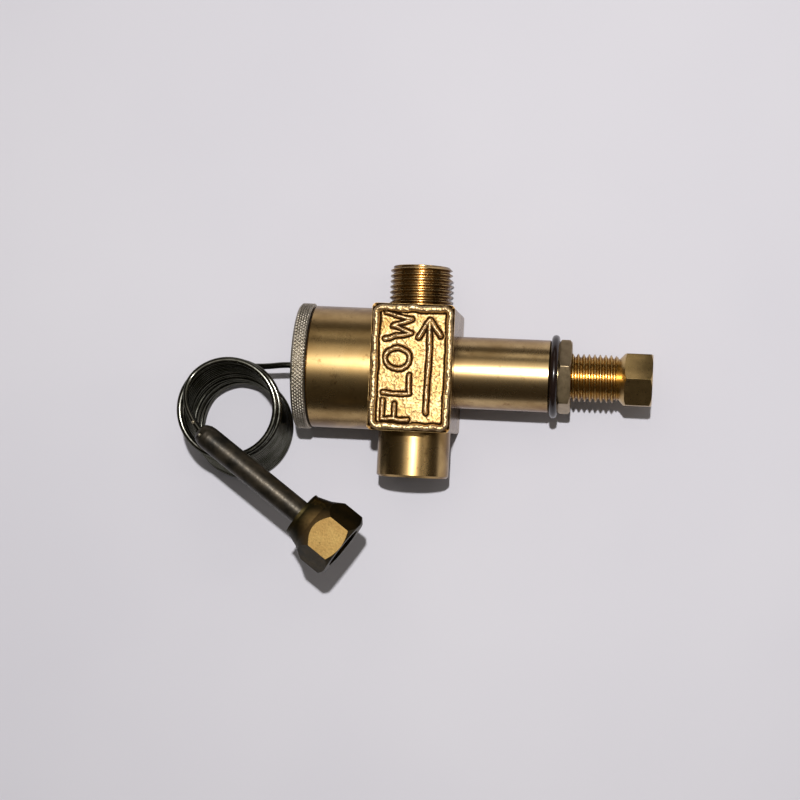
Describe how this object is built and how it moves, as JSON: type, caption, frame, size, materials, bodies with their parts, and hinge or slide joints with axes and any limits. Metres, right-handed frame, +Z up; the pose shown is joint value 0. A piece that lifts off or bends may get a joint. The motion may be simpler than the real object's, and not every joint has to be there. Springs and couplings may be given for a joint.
{
  "type": "pressure relief valve",
  "caption": "Brass pressure relief valve with bellows housing, knurled cap, wound sensing capillary with flare nut, threaded outlet, plain inlet and adjusting screw.",
  "frame": {"origin": "centre of the inlet mouth", "axes": "+Y along the flow from inlet to outlet, +X along the main axis towards the adjusting screw, +Z up from the face that the valve lies on"},
  "size_m": [0.1579, 0.1027, 0.0554],
  "materials": {
    "cast_brass": "machined and as cast",
    "housing_brass": "polished",
    "turned_brass": "turned",
    "nut_brass": "dull",
    "screw_brass": "bright",
    "flare_brass": "satin forged",
    "stub_bronze": "tarnished",
    "bush_bronze": "turned",
    "bellows_bronze": "drawn",
    "braze": "brazed",
    "nickel_cap": "knurled",
    "stem_steel": "ground",
    "spring_steel": "oiled",
    "capillary": "semi-gloss",
    "rubber": "matt",
    "gasket": "matt"
  },
  "bodies": {
    "body": {"valve_body": "cast_brass", "bellows_head": "turned_brass", "capillary_ferrule": "braze", "bellows_gasket": "gasket", "bellows": "bellows_bronze", "lower_guide_bush": "bush_bronze", "lower_stem_seal": "rubber", "seat_ring": "bush_bronze", "housing_gasket": "gasket", "spring_housing": "housing_brass", "upper_guide_bush": "bush_bronze", "upper_stem_seal": "rubber", "range_spring": "spring_steel", "housing_o_ring": "rubber", "capillary_lead": "capillary", "capillary_coil": "capillary", "capillary_tail": "capillary", "stub_tube": "stub_bronze"},
    "stem": {"bellows_pad": "turned_brass", "disc_nut": "turned_brass", "disc_seal": "rubber", "lower_spring_seat": "turned_brass", "valve_disc": "turned_brass", "valve_stem": "stem_steel"},
    "cap": {"knurled_cap": "nickel_cap"},
    "spring_follower": {"upper_spring_seat": "turned_brass", "thrust_ball": "stem_steel"},
    "screw": {"adjusting_screw": "screw_brass"},
    "lock_nut": {"lock_nut": "nut_brass"},
    "flare_nut": {"flare_nut": "flare_brass"}
  },
  "joints": [
    {"name": "valve_lift", "type": "slide", "parent": "body", "child": "stem", "axis": [1, 0, 0], "range_m": [0, 0.002], "stiffness_N_per_m": 4000, "deforming": ["bellows"]},
    {"name": "spring_setting", "type": "slide", "parent": "body", "child": "spring_follower", "axis": [1, 0, 0], "range_m": [-0.002, 0.003], "deforming": ["range_spring"]},
    {"name": "screw_turn", "type": "hinge", "parent": "spring_follower", "child": "screw", "pos_m": [0.06, 0.0358, 0], "axis": [1, 0, 0], "range_deg": [-400, 600]},
    {"name": "lock_nut_turn", "type": "hinge", "parent": "body", "child": "lock_nut", "pos_m": [0.0494, 0.0358, 0], "axis": [1, 0, 0], "range_deg": [0, 180]},
    {"name": "cap_turn", "type": "hinge", "parent": "body", "child": "cap", "pos_m": [-0.0375, 0.0358, 0], "axis": [-1, 0, 0], "range_deg": [0, 180]},
    {"name": "flare_nut_spin", "type": "hinge", "parent": "body", "child": "flare_nut", "pos_m": [-0.02593, -0.01842, 0.02405], "axis": [0.811, -0.585, 0], "continuous": true}
  ],
  "couplings": [
    {"joint": "screw_turn", "follows": "spring_setting", "rad_per_m": 3463.7}
  ]
}
